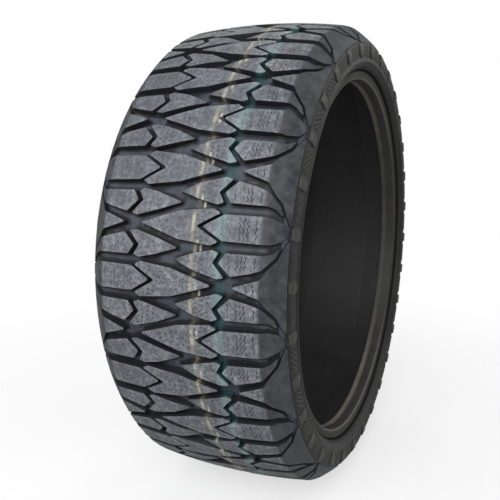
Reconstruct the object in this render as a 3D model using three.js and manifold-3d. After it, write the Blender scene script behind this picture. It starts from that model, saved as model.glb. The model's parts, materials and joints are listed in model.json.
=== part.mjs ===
// Low-profile all-terrain road tyre, unmounted, standing upright on its tread at -Z.
// Frame: millimetres, +Z up. The origin is the wheel centre, the spin axis is Y and left is +Y.
// Every layer is a ring turned about Y from a closed cross-section. All rings share one facet
// count and phase, so that gaps between layers stay even and one facet lies square to -Z.
import * as THREE from "three";
import { mergeVertices } from "three/addons/utils/BufferGeometryUtils.js";
import Module from "manifold-3d";

// ---- driving dimensions ----
const OUTER_RADIUS = 405; // over the tread
const HALF_WIDTH = 159.2; // centre plane to the widest point of the sidewall
const HALF_BEAD_SPACING = 144.5; // centre plane to the flat that the rim flange presses on
const TREAD_HALF_WIDTH = 124.5;
const CROWN_FLAT = 66; // half-width of the level middle of the crown
const GROOVE_DEPTH = 11;
const FACETS = 28; // round every ring
const PITCHES = 16; // tread pattern repeats
const PITCH = (2 * Math.PI) / PITCHES;
// Angle of one big shoulder lug on the right, from +X towards +Z.
const TREAD_PHASE = THREE.MathUtils.degToRad(165.135);

// Layer thicknesses
const PLY = 1.2; // body ply
const LINER = 1.8;
const BELT = 1.6;
const CAP_PLY = 1.0;
const GAP = 0.3; // clearance between neighbouring layers

const MERGE_DISTANCE = 1e-3;
const SIMPLIFY_TOLERANCE = 0.02;

// ---- materials ----
const FINISHES = {
  treadCap: { color: 0x8a8d94, roughness: 0.85 },
  treadBase: { color: 0x3c3c40, roughness: 0.8 },
  capPly: { color: 0xb9a98a, roughness: 0.9 },
  capStrip: { color: 0xc4b28c, roughness: 0.9 },
  beltUpper: { color: 0x7d8288, roughness: 0.5, metalness: 0.6 },
  beltLower: { color: 0x70757b, roughness: 0.5, metalness: 0.6 },
  beltWedge: { color: 0x2e2e31, roughness: 0.85 },
  plyOuter: { color: 0xa08c6c, roughness: 0.9 },
  plyInner: { color: 0x97835f, roughness: 0.9 },
  liner: { color: 0x232325, roughness: 0.6 },
  beadCore: { color: 0x9a8050, roughness: 0.4, metalness: 0.8 },
  beadFiller: { color: 0x35322f, roughness: 0.8 },
  chafer: { color: 0x2b2b2e, roughness: 0.7 },
  sidewall: { color: 0x4a4b50, roughness: 0.8 },
  treadWing: { color: 0x45464a, roughness: 0.85 },
};

// ---- cross-section helpers: points are [y, radius] ----
const mirror = (points) => points.map(([y, radius]) => [-y, radius]).reverse();
// Full-width path from its +Y half, which runs from the edge towards the centre plane.
const wrap = (half) => [...half, ...mirror(half)];
// Closed full-width section between the +Y halves of its outer and inner faces.
const band = (outerHalf, innerHalf) => [...wrap(outerHalf), ...wrap(innerHalf).reverse()];

function direction(from, to) {
  const [dy, dr] = [to[0] - from[0], to[1] - from[1]];
  const length = Math.hypot(dy, dr);
  return [dy / length, dr / length];
}

// Parallel copy of an open path, shifted to its left, with mitred corners.
function offset(path, distance) {
  const last = path.length - 1;
  return path.map((point, i) => {
    const before = i > 0 ? direction(path[i - 1], point) : direction(point, path[i + 1]);
    const after = i < last ? direction(point, path[i + 1]) : before;
    const normal = [-(before[1] + after[1]), before[0] + after[0]];
    const length = Math.hypot(...normal);
    const mitre = [normal[0] / length, normal[1] / length];
    const cosine = mitre[0] * -before[1] + mitre[1] * before[0];
    return [
      point[0] + (mitre[0] * distance) / cosine,
      point[1] + (mitre[1] * distance) / cosine,
    ];
  });
}

// Closed section between two parallel copies of a path.
function sheet(path, start, thickness) {
  return [...offset(path, start), ...offset(path, start + thickness).reverse()];
}

// ---- tread cross-sections, +Y halves, edge to crown ----
const TREAD_EDGE = [143.6, 381.25];
const TREAD_TOP = [TREAD_EDGE, [TREAD_HALF_WIDTH, 396.6], [CROWN_FLAT, OUTER_RADIUS]];
const GROOVE_FLOOR = [TREAD_EDGE, [126, 385.6], [CROWN_FLAT, OUTER_RADIUS - GROOVE_DEPTH]];
// Underside of the lugs, sunk into the groove floor so that the two fuse.
const LUG_ROOT = [TREAD_EDGE, ...GROOVE_FLOOR.slice(1).map(([y, radius]) => [y - 0.5, radius - 1.2])];
const CAP_UNDERSIDE = [[130.6, 380.3], [121.6, 384.7], [91.6, 389.0], [CROWN_FLAT, 391.0]];

// ---- carcass cross-sections ----
const CARCASS_CROWN_RADIUS = 383.8;
// Reference line, +Y half: from the end of the turn-up, down outside the filler, under the
// core, then up the cavity side to the crown.
const CARCASS = [
  [150.5, 338.5], [138.0, 322.6], [134.6, 312.8], [126.4, 312.8], [125.2, 320.8],
  [140.5, 331.6], [152.4, 348.5], [146.4, 364.2], [CROWN_FLAT, CARCASS_CROWN_RADIUS],
];
const CARCASS_LOW_TURNUP = [[144.8, 331.25], ...CARCASS.slice(1)];
const LINER_LINE = [[126.13, 314.6], ...CARCASS.slice(4)]; // cavity side only
const INNER_PLY_START = PLY + GAP;
const LINER_START = 2 * (PLY + GAP);

// ---- belt package ----
const BELT_SLOPE = 8.2 / 55; // fall in radius per millimetre outside the crown flat
const beltRadius = (y) => CARCASS_CROWN_RADIUS - (y - CROWN_FLAT) * BELT_SLOPE;

// Layer over the carcass crown, its underside lifted off the belt line. The line runs from
// +Y to -Y, so the road side is to its right and the offsets are negative.
function crownLayer(halfWidth, lift, thickness) {
  const half = [[halfWidth, beltRadius(halfWidth)], [CROWN_FLAT, CARCASS_CROWN_RADIUS]];
  return sheet(wrap(half), -lift, -thickness);
}

const LOWER_BELT_HALF_WIDTH = 118;
const UPPER_BELT_HALF_WIDTH = 112;
const CAP_PLY_HALF_WIDTH = 120;
const UPPER_BELT_LIFT = GAP + BELT + GAP;
const CAP_PLY_LIFT = UPPER_BELT_LIFT + BELT + GAP;
const TREAD_BASE_LIFT = CAP_PLY_LIFT + CAP_PLY + GAP;

const CAP_STRIP_INNER = 92; // centre plane to the strip's inner edge
const CAP_STRIP_LIFT = 5.5; // belt line to the underside, measured radially
const CAP_STRIP = [
  [CAP_STRIP_INNER, beltRadius(CAP_STRIP_INNER) + CAP_STRIP_LIFT],
  [CAP_PLY_HALF_WIDTH, beltRadius(CAP_PLY_HALF_WIDTH) + CAP_STRIP_LIFT],
  [CAP_PLY_HALF_WIDTH, beltRadius(CAP_PLY_HALF_WIDTH) + CAP_STRIP_LIFT + CAP_PLY],
  [CAP_STRIP_INNER, beltRadius(CAP_STRIP_INNER) + CAP_STRIP_LIFT + CAP_PLY],
];
const BELT_WEDGE = [
  [100, 378.5], [118.6, 375.65], [122.7, 381.3], [128.2, 378.8], [134.0, 373.2], [131.6, 369.2],
];
const TREAD_BASE = band(
  [[129.2, 379.4], [121.4, 384.1], [91.5, 388.5], [CROWN_FLAT, 390.5]],
  [[122.4, 382.5], [92, 387.0], [CROWN_FLAT, CARCASS_CROWN_RADIUS + TREAD_BASE_LIFT]],
);

// ---- bead and sidewall cross-sections, +Y side, closed ----
const BEAD_CORE = [
  [126.15, 317.4], [128.5, 313.3], [133.2, 313.3], [135.55, 317.4], [133.2, 321.5], [128.5, 321.5],
];
const BEAD_FILLER = [
  [127.6, 321.95], [137.1, 321.95], [149.7, 338.2], [152.4, 347.4], [140.85, 331.3],
];
const CHAFER = [
  [118.6, 305.9], [141.0, 308.0], [HALF_BEAD_SPACING, 311.5], [HALF_BEAD_SPACING, 321.0],
  [150.6, 327.8], [147.7, 329.8], [140.8, 321.05], [136.75, 309.7], [123.7, 309.7],
  [120.4, 313.0],
];
const SIDEWALL = [
  [149.2, 375.8], [157.0, 363.5], [HALF_WIDTH, 350], [158.0, 337], [150.9, 328.2],
  [148.0, 330.2], [153.4, 337.2], [153.1, 348.6], [146.9, 364.45], [132.4, 368.9],
  [135.2, 373.0],
];
// Outer face sunk between the sidewall lugs, leaving the rim protector rib standing.
const SIDEWALL_SUNK = [
  [149.2, 375.8], [154.4, 366.6], [155.7, 358.5], [155.9, 344.5], [158.0, 339.5],
  ...SIDEWALL.slice(3),
];
const TREAD_WING = [[132.2, 377.2], [144.0, 380.75], [148.8, 376.35]];

// ---- lug outlines ----
// Tread lugs of one pitch on the -Y side, centred on a big shoulder lug:
// [across in outer radii from the centre plane, along in radians].
const TREAD_LUGS = [
  // long centre arrow
  [[-0.145, 0], [0.15, -0.058], [0.078, 0], [0.15, 0.058]],
  // small centre arrows
  [[-0.01, 0.1175], [0.15, 0.078], [0.15, 0.16]],
  [[-0.01, -0.1175], [0.15, -0.16], [0.15, -0.078]],
  // big shoulder lug
  [[0.096, 0], [0.174, -0.046], [0.36, -0.046], [0.36, 0.046], [0.174, 0.046]],
  // small shoulder lugs
  [[0.165, 0.118], [0.186, 0.083], [0.36, 0.083], [0.36, 0.105], [0.2, 0.162]],
  [[0.165, -0.118], [0.2, -0.162], [0.36, -0.105], [0.36, -0.083], [0.186, -0.083]],
  // bow-tie lug
  [[0.2, PITCH / 2], [0.312, PITCH / 2 - 0.034], [0.312, PITCH / 2 + 0.034]],
];
const TREAD_LUG_FOOT_RADIUS = OUTER_RADIUS - 40;
const TREAD_LUG_HEIGHT = 60; // before trimming to the tread profile

// Sidewall lug, [along, radius]; every other one is in line with a big shoulder lug.
const SIDE_LUG = [
  [-8.3, 346], [-3.4, 341.5], [3.4, 341.5], [8.3, 346],
  [8.3, 361.5], [6.6, 366.5], [-6.6, 366.5], [-8.3, 361.5],
];
const SIDE_LUGS_PER_PITCH = 2;
const SIDE_LUG_FOOT = 153.9; // centre plane to the buried foot
const SIDE_LUG_HEIGHT = 12; // before trimming to the sidewall profile

// ---- mesh helpers ----
// Welds vertices, drops collapsed triangles and turns the faces outward.
function clean(geometry) {
  geometry.deleteAttribute("normal");
  geometry.deleteAttribute("uv");
  const merged = mergeVertices(geometry, MERGE_DISTANCE);
  const vertex = (i) => new THREE.Vector3().fromBufferAttribute(merged.attributes.position, i);
  const source = merged.index.array;
  const triangles = [];
  let volume = 0; // six times the enclosed volume; only its sign matters
  for (let i = 0; i < source.length; i += 3) {
    const [a, b, c] = source.slice(i, i + 3);
    if (a === b || b === c || a === c) continue;
    triangles.push([a, b, c]);
    volume += vertex(a).dot(vertex(b).cross(vertex(c)));
  }
  merged.setIndex(triangles.flatMap(([a, b, c]) => (volume < 0 ? [a, c, b] : [a, b, c])));
  return merged;
}

// Ring from a closed cross-section, with the middles of its facets at the stated radii.
function ring(section) {
  let area = 0;
  section.forEach(([y, radius], i) => {
    const [nextY, nextRadius] = section[(i + 1) % section.length];
    area += y * nextRadius - nextY * radius;
  });
  const points = area < 0 ? [...section].reverse() : section;
  const cornerScale = 1 / Math.cos(Math.PI / FACETS);
  const outline = [...points, points[0]].map(
    ([y, radius]) => new THREE.Vector2(radius * cornerScale, y),
  );
  return clean(new THREE.LatheGeometry(outline, FACETS, Math.PI / FACETS));
}

const manifold = await Module();
manifold.setup();

function toSolid(geometry) {
  return new manifold.Manifold(new manifold.Mesh({
    numProp: 3,
    vertProperties: new Float32Array(geometry.attributes.position.array),
    triVerts: new Uint32Array(geometry.index.array),
  }));
}

function toGeometry(solid) {
  const mesh = solid.getMesh();
  const geometry = new THREE.BufferGeometry();
  const positions = new Float32Array(mesh.vertProperties);
  geometry.setAttribute("position", new THREE.BufferAttribute(positions, 3));
  geometry.setIndex(Array.from(mesh.triVerts));
  return geometry;
}

// Trims the lugs to the full profile and fuses them with the sunk ring.
function fuseLugs(lugs, fullSection, sunkSection) {
  const solid = lugs
    .reduce((all, lug) => all.add(lug))
    .intersect(toSolid(ring(fullSection)))
    .add(toSolid(ring(sunkSection)));
  return toGeometry(solid.asOriginal().simplify(SIMPLIFY_TOLERANCE));
}

function extrudeLug(outline, depth, placement) {
  const shape = new THREE.Shape(outline.map(([x, y]) => new THREE.Vector2(x, y)));
  const geometry = new THREE.ExtrudeGeometry(shape, { depth, bevelEnabled: false });
  geometry.applyMatrix4(placement);
  return toSolid(clean(geometry));
}

// Unit vectors at an angle from +X towards +Z.
const radialAt = (angle) => new THREE.Vector3(Math.cos(angle), 0, Math.sin(angle));
const tangentAt = (angle) => new THREE.Vector3(Math.sin(angle), 0, -Math.cos(angle));

// ---- tread cap and sidewalls ----
// Tread lug standing radially; side is 1 for the pattern at -Y, -1 for its mirror at +Y.
function treadLug(outline, side, turn) {
  const middle = outline.reduce((sum, [, along]) => sum + along, 0) / outline.length;
  const flat = outline.map(([across, along]) => [
    OUTER_RADIUS * Math.tan(along - middle),
    -side * across * OUTER_RADIUS,
  ]);
  const angle = TREAD_PHASE - turn - middle;
  const radial = radialAt(angle);
  const placement = new THREE.Matrix4()
    .makeBasis(tangentAt(angle), new THREE.Vector3(0, 1, 0), radial)
    .setPosition(radial.clone().multiplyScalar(TREAD_LUG_FOOT_RADIUS));
  return extrudeLug(flat, TREAD_LUG_HEIGHT, placement);
}

function treadCap() {
  const lugs = [];
  for (let k = 0; k < PITCHES; k++) {
    for (const side of [1, -1]) {
      const turn = (k + (side > 0 ? 0 : 0.5)) * PITCH; // the +Y side is half a pitch on
      for (const outline of TREAD_LUGS) lugs.push(treadLug(outline, side, turn));
    }
  }
  return fuseLugs(lugs, band(TREAD_TOP, LUG_ROOT), band(GROOVE_FLOOR, CAP_UNDERSIDE));
}

// Sidewall facing +Y for side 1, -Y for side -1.
function sidewall(side) {
  const lugs = [];
  for (let k = 0; k < SIDE_LUGS_PER_PITCH * PITCHES; k++) {
    const angle = TREAD_PHASE - (k * PITCH) / SIDE_LUGS_PER_PITCH;
    const placement = new THREE.Matrix4()
      .makeBasis(tangentAt(angle), radialAt(angle), new THREE.Vector3(0, side, 0))
      .setPosition(0, side * SIDE_LUG_FOOT, 0);
    lugs.push(extrudeLug(SIDE_LUG, SIDE_LUG_HEIGHT, placement));
  }
  const sections = [SIDEWALL, SIDEWALL_SUNK];
  return fuseLugs(lugs, ...(side > 0 ? sections : sections.map(mirror)));
}

// ---- assembly ----
const tyre = new THREE.Group();

function add(name, geometry, finish) {
  const mesh = new THREE.Mesh(geometry, new THREE.MeshStandardMaterial(finish));
  mesh.name = name;
  tyre.add(mesh);
}

function addBoth(name, section, finish) {
  add(`${name}_left`, ring(section), finish);
  add(`${name}_right`, ring(mirror(section)), finish);
}

add("tread_cap", treadCap(), FINISHES.treadCap);
add("tread_base", ring(TREAD_BASE), FINISHES.treadBase);
add("cap_ply", ring(crownLayer(CAP_PLY_HALF_WIDTH, CAP_PLY_LIFT, CAP_PLY)), FINISHES.capPly);
addBoth("cap_strip", CAP_STRIP, FINISHES.capStrip);
add("belt_upper", ring(crownLayer(UPPER_BELT_HALF_WIDTH, UPPER_BELT_LIFT, BELT)), FINISHES.beltUpper);
add("belt_lower", ring(crownLayer(LOWER_BELT_HALF_WIDTH, GAP, BELT)), FINISHES.beltLower);
addBoth("belt_wedge", BELT_WEDGE, FINISHES.beltWedge);
add("body_ply_outer", ring(sheet(wrap(CARCASS_LOW_TURNUP), 0, PLY)), FINISHES.plyOuter);
add("body_ply_inner", ring(sheet(wrap(CARCASS), INNER_PLY_START, PLY)), FINISHES.plyInner);
add("inner_liner", ring(sheet(wrap(LINER_LINE), LINER_START, LINER)), FINISHES.liner);
addBoth("bead_core", BEAD_CORE, FINISHES.beadCore);
addBoth("bead_filler", BEAD_FILLER, FINISHES.beadFiller);
addBoth("chafer", CHAFER, FINISHES.chafer);
add("sidewall_left", sidewall(1), FINISHES.sidewall);
add("sidewall_right", sidewall(-1), FINISHES.sidewall);
addBoth("tread_wing", TREAD_WING, FINISHES.treadWing);

export default tyre;
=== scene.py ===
"""Looks of a low-profile all-terrain road tyre, unmounted, standing upright.

Frame: metres, +Z up, origin at the wheel centre, spin axis +Y. The left side is +Y.
Lengths are millimetres until a mesh is made; in materials, lights and camera they are metres.
Every layer is one closed ring: tread, sidewalls, bead covers, liner, plies, belts, cords and
bead cores. A closed section of a ring is a list of (y, r): axial position and radius.

The faces of the tread and sidewalls are drawn flat, as points (across, along): arc length over
the profile, and length round the tyre. Height stands out from that face.
"""

import json
import math

import bpy
import numpy as np
from mathutils import Matrix, Vector
from mathutils.geometry import delaunay_2d_cdt

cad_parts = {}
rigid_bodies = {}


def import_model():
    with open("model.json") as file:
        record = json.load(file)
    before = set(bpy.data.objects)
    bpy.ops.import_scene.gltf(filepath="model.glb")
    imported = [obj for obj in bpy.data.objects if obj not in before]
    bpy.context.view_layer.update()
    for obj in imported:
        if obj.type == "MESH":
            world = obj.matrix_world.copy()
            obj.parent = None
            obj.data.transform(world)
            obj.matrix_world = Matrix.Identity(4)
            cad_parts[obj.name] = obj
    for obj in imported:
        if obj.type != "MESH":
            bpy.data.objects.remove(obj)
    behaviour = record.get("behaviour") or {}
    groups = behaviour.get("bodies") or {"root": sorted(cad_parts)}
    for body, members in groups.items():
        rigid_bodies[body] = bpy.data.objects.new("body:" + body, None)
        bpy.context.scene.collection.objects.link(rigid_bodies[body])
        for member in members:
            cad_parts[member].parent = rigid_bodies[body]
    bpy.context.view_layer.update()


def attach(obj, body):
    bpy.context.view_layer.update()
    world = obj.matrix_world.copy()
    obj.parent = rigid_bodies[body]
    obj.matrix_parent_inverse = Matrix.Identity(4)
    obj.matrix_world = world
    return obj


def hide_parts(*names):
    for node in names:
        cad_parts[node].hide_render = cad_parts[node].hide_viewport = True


for spare in list(bpy.data.objects):
    bpy.data.objects.remove(spare)
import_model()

# ---- driving dimensions ---------------------------------------------------------------------
MM = 0.001
R = 405.0  # tread radius at the centre
PITCHES = 16
PITCH = 2 * math.pi / PITCHES
PHASE = math.radians(165.135)  # one big shoulder lug of the -Y side, from +X towards +Z
GROOVE = 11.0  # full groove depth
COLUMNS = 14  # columns per pitch at the tread's rims
RIM_LAG = 6  # columns by which the +Y rim is further on than the -Y rim


# ---- flat outlines --------------------------------------------------------------------------
def area(points):
    x, y = points[:, 0], points[:, 1]
    return 0.5 * np.sum(x * np.roll(y, -1) - np.roll(x, -1) * y)


def anticlockwise(points):
    points = np.array(points, float)
    return points if area(points) > 0 else points[::-1]


def closed(points):
    return np.vstack([points, points[:1]])


def arc_lengths(points):
    steps = np.linalg.norm(np.diff(points, axis=0), axis=1)
    return np.concatenate([[0], np.cumsum(steps)])


def opposite(half):
    """The half section's mirror image, run backwards."""
    return [(-y, r) for y, r in reversed(half)]


def resampled(line, longest):
    """The line with its segments divided until none is longer than `longest`."""
    out = []
    for a, b in zip(line[:-1], line[1:]):
        parts = max(1, int(math.ceil(np.linalg.norm(b - a) / longest)))
        out += [a + (b - a) * k / parts for k in range(parts)]
    return np.array(out + [line[-1]])


def corner(before, at, after):
    """Unit directions from a corner to its neighbours, their distances and the angle."""
    reach = np.linalg.norm(before - at), np.linalg.norm(after - at)
    back, on = (before - at) / reach[0], (after - at) / reach[1]
    return back, on, reach, math.acos(max(-1, min(1, back @ on)))


def filleted(points, radius, longest, arc_steps=3):
    """A closed outline with rounded corners and no long edges.

    arc_steps is the number of chords in a turn of 1.3 radians.
    """
    out = []
    for i in range(len(points)):
        at = points[i]
        back, on, reach, angle = corner(points[i - 1], at, points[(i + 1) % len(points)])
        turn = math.pi - angle
        if turn < 0.12:
            out.append(at)
            continue
        fillet = radius
        trim = fillet / math.tan(angle / 2)
        limit = 0.4 * min(reach)
        if trim > limit:
            trim, fillet = limit, limit * math.tan(angle / 2)
        bisector = (back + on) / np.linalg.norm(back + on)
        centre = at + bisector * fillet / math.sin(angle / 2)
        first, last = at + back * trim - centre, at + on * trim - centre
        start = math.atan2(first[1], first[0])
        end = math.atan2(last[1], last[0])
        sweep = (end - start + math.pi) % (2 * math.pi) - math.pi
        steps = max(1, int(round(arc_steps * turn / 1.3)))
        for k in range(steps + 1):
            now = start + sweep * k / steps
            out.append(centre + fillet * np.array([math.cos(now), math.sin(now)]))
    return resampled(closed(np.array(out)), longest)[:-1]


def filleted_open(points, radius):
    """An open line with its corners rounded by parabolas of six chords."""
    out = [points[0]]
    for before, at, after in zip(points, points[1:], points[2:]):
        back, on, reach, angle = corner(before, at, after)
        if math.pi - angle < 0.05:
            out.append(at)
            continue
        trim = min(radius / math.tan(angle / 2), 0.45 * min(reach))
        first, last = at + back * trim, at + on * trim
        for k in range(7):
            f = k / 6
            out.append((1 - f) ** 2 * first + 2 * f * (1 - f) * at + f * f * last)
    out.append(points[-1])
    return np.array(out)


def edge_normals(edges):
    edges = edges / np.linalg.norm(edges, axis=1)[:, None]
    return np.stack([edges[:, 1], -edges[:, 0]], 1)


def grown(outline, distance_out):
    """An anticlockwise outline moved outwards."""
    normal = edge_normals(np.roll(outline, -1, 0) - outline)
    before = np.roll(normal, 1, 0)
    spread = np.maximum(1 + np.sum(normal * before, axis=1), 0.5)[:, None]
    return outline + (normal + before) / spread * distance_out


def inside(outline, points):
    x, y = points[:, 0], points[:, 1]
    result = np.zeros(len(points), bool)
    for (ax, ay), (bx, by) in zip(outline, np.roll(outline, -1, 0)):
        if ay != by:
            crossing = (bx - ax) * (y - ay) / (by - ay) + ax
            result ^= ((by > y) != (ay > y)) & (x < crossing)
    return result


def distance(outline, points):
    best = np.full(len(points), 1e9)
    for a, b in zip(outline, np.roll(outline, -1, 0)):
        edge = b - a
        t = np.clip(((points - a) @ edge) / (edge @ edge), 0, 1)
        best = np.minimum(best, np.linalg.norm(points - a - t[:, None] * edge, axis=1))
    return best


def triangulated(outer, holes, step, margin):
    """Triangles of outer less the holes, with extra points on a grid of `step` inside.

    Returns the extra points and the triangles, which number outer, then the holes in turn,
    then the extra points.
    """
    rings = [outer] + holes
    low, high = outer.min(0), outer.max(0)
    rows = np.arange(low[1] + step / 2, high[1], step * 0.866)
    columns = np.arange(low[0] + step / 3, high[0], step)
    grid = [(x + (step / 2 if j % 2 else 0), y) for j, y in enumerate(rows) for x in columns]
    grid = np.array(grid).reshape(-1, 2)
    keep = inside(outer, grid) & (distance(outer, grid) > margin)
    for hole in holes:
        keep &= ~inside(hole, grid) & (distance(hole, grid) > margin * 0.6)
    extra = grid[keep]
    edges, base = [], 0
    for ring in rings:
        edges += [(base + i, base + (i + 1) % len(ring)) for i in range(len(ring))]
        base += len(ring)
    points = np.vstack(rings + [extra])
    result = delaunay_2d_cdt([Vector(p) for p in points], edges, [], 0, 1e-7)
    corners, triangles, origins = result[0], result[2], result[3]
    source = [origin[0] for origin in origins if origin]
    if len(corners) != len(points) or len(source) != len(points):
        raise RuntimeError("outlines cross")
    triangles = np.array([[source[i] for i in t] for t in triangles])
    middle = points[triangles].mean(1)
    side1 = points[triangles[:, 1]] - points[triangles[:, 0]]
    side2 = points[triangles[:, 2]] - points[triangles[:, 0]]
    doubled_area = np.abs(side1[:, 0] * side2[:, 1] - side1[:, 1] * side2[:, 0])
    good = inside(outer, middle) & (doubled_area > 1e-6)
    for hole in holes:
        good &= ~inside(hole, middle)
    return extra, triangles[good]


# ---- sheets and rings -----------------------------------------------------------------------
class Sheet:
    """One repeat of a relief: points (across, along, height) and faces.

    A point's shade is its "depth" attribute: 0 on raised faces, towards 1 in the grooves. The
    tread material paints shade into the grooves and block walls from it, and the sidewall material
    paints raised faces lighter.
    A face's share says how much it turns its corners' normals.
    """

    def __init__(self):
        self.across, self.along, self.height, self.shade = [], [], [], []
        self.faces, self.share = [], []

    def points(self, places, height, shade):
        """Add points; returns their numbers."""
        first, count = len(self.across), len(places)
        self.across += list(places[:, 0])
        self.along += list(places[:, 1])
        self.height += list(np.broadcast_to(height, count))
        self.shade += list(np.broadcast_to(shade, count))
        return np.arange(first, first + count)

    def face(self, corners, share):
        self.faces.append(tuple(corners))
        self.share.append(share)

    def strip(self, a, b, share):
        """Quads between two closed loops of points."""
        for i in range(len(a)):
            j = (i + 1) % len(a)
            self.face((a[i], a[j], b[j], b[i]), share)

    def fill(self, outer, holes, step, margin, relief):
        """Triangles between the outer loop and the holes, each a pair (outline, numbers).

        relief gives the height and shade of the extra points.
        """
        outlines = [outline for outline, _ in holes]
        extra, triangles = triangulated(outer[0], outlines, step, margin)
        loops = [outer[1]] + [ids for _, ids in holes]
        ids = np.concatenate(loops + [self.points(extra, *relief(extra))])
        for triangle in triangles:
            self.face(ids[triangle], 1.0)

    def border(self, cut, width, offsets, relief):
        """Add the outline between a cut and its copy `width` further along.

        offsets are the places of the columns on the rims, from the cut. Returns the loop, the
        numbers of both cuts, and of the rims at the cut's start and end.
        """
        at_start, at_end = (
            np.stack([np.full(len(offsets), across), along + offsets], 1)
            for across, along in (cut[0], cut[-1])
        )
        next_cut = cut + [0, width]
        outline = np.vstack([cut, at_end, next_cut[::-1], at_start[::-1]])
        ids = self.points(outline, *relief(outline))
        n, m = len(cut), len(offsets)
        on_cut, on_end, on_next, on_start = np.split(ids, [n, n + m, 2 * n + m])
        start_rim = np.concatenate([on_cut[:1], on_start[::-1]])
        end_rim = np.concatenate([on_cut[-1:], on_end])
        if area(outline) < 0:
            outline, ids = outline[::-1], ids[::-1]
        return (outline, ids), (on_cut, on_next[::-1]), start_rim, end_rim


def on_wheel(y, r, angle):
    """Points in space, at an angle from the big lug of the -Y side."""
    theta = PHASE - angle
    return np.stack([r * np.cos(theta), np.broadcast_to(y, theta.shape), r * np.sin(theta)], -1)


def volume(verts, faces):
    v = np.asarray(verts)
    tri = np.array([(f[0], f[k], f[k + 1]) for f in faces for k in range(1, len(f) - 1)])
    return np.einsum("ij,ij->i", v[tri[:, 0]], np.cross(v[tri[:, 1]], v[tri[:, 2]])).sum() / 6


def reversed_faces(faces):
    return [face[::-1] for face in faces]


def facing_out(verts, faces):
    return reversed_faces(faces) if volume(verts, faces) < 0 else faces


class Ring:
    """A sheet repeated round the wheel, joined cut to cut."""

    def __init__(self, sheet, cuts, copies, radius, place):
        cut, next_cut = cuts
        across, height, shade = map(np.array, (sheet.across, sheet.height, sheet.shade))
        self.angle = np.array(sheet.along) / radius
        self.copies, self.turn = copies, 2 * math.pi / copies
        own = np.setdiff1d(np.arange(len(across)), next_cut)
        self.count = len(own)
        self.local = np.full(len(across), -1)
        self.local[own] = np.arange(self.count)
        self.verts = np.vstack([
            place(across[own], self.angle[own] + k * self.turn, height[own])
            for k in range(copies)
        ])
        self.shade = np.tile(shade[own], copies)
        self.faces, self.share = [], []
        for k in range(copies):
            number = self.local + k * self.count
            number[next_cut] = self.local[cut] + (k + 1) % copies * self.count
            number = number.tolist()
            self.faces += [tuple(number[i] for i in face) for face in sheet.faces]
            self.share += sheet.share

    def rim(self, ids):
        return np.concatenate([self.local[ids] + k * self.count for k in range(self.copies)])

    def rim_angles(self, ids):
        return np.concatenate([self.angle[ids] + k * self.turn for k in range(self.copies)])

    def close(self, first, last, angles, section, shade, shares):
        """Run a skin from the first rim over the section's points to the last rim."""
        rows, total, count = [first], len(self.verts), len(first)
        for y, r in section:
            self.verts = np.vstack([self.verts, on_wheel(y, r, angles)])
            rows.append(np.arange(total, total + count))
            total += count
        rows = [row.tolist() for row in rows + [last]]
        self.shade = np.concatenate([self.shade, np.full(total - len(self.shade), shade)])
        for a, b, share in zip(rows, rows[1:], shares):
            for i in range(count):
                j = (i + 1) % count
                self.faces.append((a[i], b[i], b[j], a[j]))
                self.share.append(share)
        self.faces = facing_out(self.verts, self.faces)


# ---- outer profile of the tread -------------------------------------------------------------
CROWN_DROP, CROWN_DROP_AT = 0.0111 * R, 0.2263 * R  # fall below R, and the y where it is so
CROWN_EDGE = 118
SHOULDER = [  # y, r
    (122.6, 396.85), (125.4, 395.9), (127.8, 394.2), (132.2, 390.6),
    (138, 385.9), (143.6, 381.2), (149.4, 375.2), (154.4, 368.4),
]


def spline(knots, parts=8):
    """Catmull-Rom curve through the knots, each span in `parts`."""
    k = np.array(knots, float)
    k = np.vstack([2 * k[0] - k[1], k, 2 * k[-1] - k[-2]])
    out = []
    for a, b, c, d in zip(k, k[1:], k[2:], k[3:]):
        linear, square, cube = c - a, 2 * a - 5 * b + 4 * c - d, 3 * b - a - 3 * c + d
        for t in np.arange(parts) / parts:
            out.append(0.5 * (2 * b + linear * t + square * t * t + cube * t**3))
    out.append(k[-2])
    return np.array(out)


CROWN = [(y, R - CROWN_DROP * (y / CROWN_DROP_AT) ** 2) for y in np.linspace(0, CROWN_EDGE, 21)]
PROFILE = spline(CROWN + SHOULDER)
ARC = arc_lengths(PROFILE)
# Direction in which the relief is cut, against y. It turns slowly, so that deep cuts under
# the shoulder don't cross.
LEAN = np.interp(PROFILE[:, 0], [0, 90, 120, 140, 156], np.radians([0, 5.5, 17, 36, 50]))

# Tread shapes are drawn as (w, u): axial place in units of R, positive on the -Y side, and
# angle round the tyre in radians.


def w_of(across):
    return np.interp(np.abs(across), ARC, PROFILE[:, 0]) / R


def flat(points):
    """(w, u) points to (across, along) in millimetres."""
    w, u = np.array(points, float).T
    return np.stack([np.sign(w) * np.interp(np.abs(w) * R, PROFILE[:, 0], ARC), u * R], 1)


def groove_depth(across):
    stations = [0, 0.27, 0.300, 0.322, 0.352, 0.372, 0.3815]
    return np.interp(w_of(across), stations, [GROOVE, GROOVE, 9.0, 6.4, 5.0, 3.4, 1.2])


def tread_place(across, angle, height):
    arc = np.abs(across)
    lean = np.interp(arc, ARC, LEAN)
    y = np.interp(arc, ARC, PROFILE[:, 0]) + height * np.sin(lean)
    r = np.interp(arc, ARC, PROFILE[:, 1]) + height * np.cos(lean)
    return on_wheel(-np.sign(across + 1e-12) * y, r, angle)


# ---- tread blocks: outlines of the -Y half, as (w, u) ---------------------------------------
def mirrored(points):
    return [(w, -u) for w, u in reversed(points)]


def symmetric(half):
    """The outline whose listed half runs between its two points on u = 0."""
    return half + mirrored(half[1:-1])


def other_half(points):
    """Turned half round on to the +Y half of the tread, half a pitch on."""
    return [(-w, PITCH / 2 - u) for w, u in points]


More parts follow.
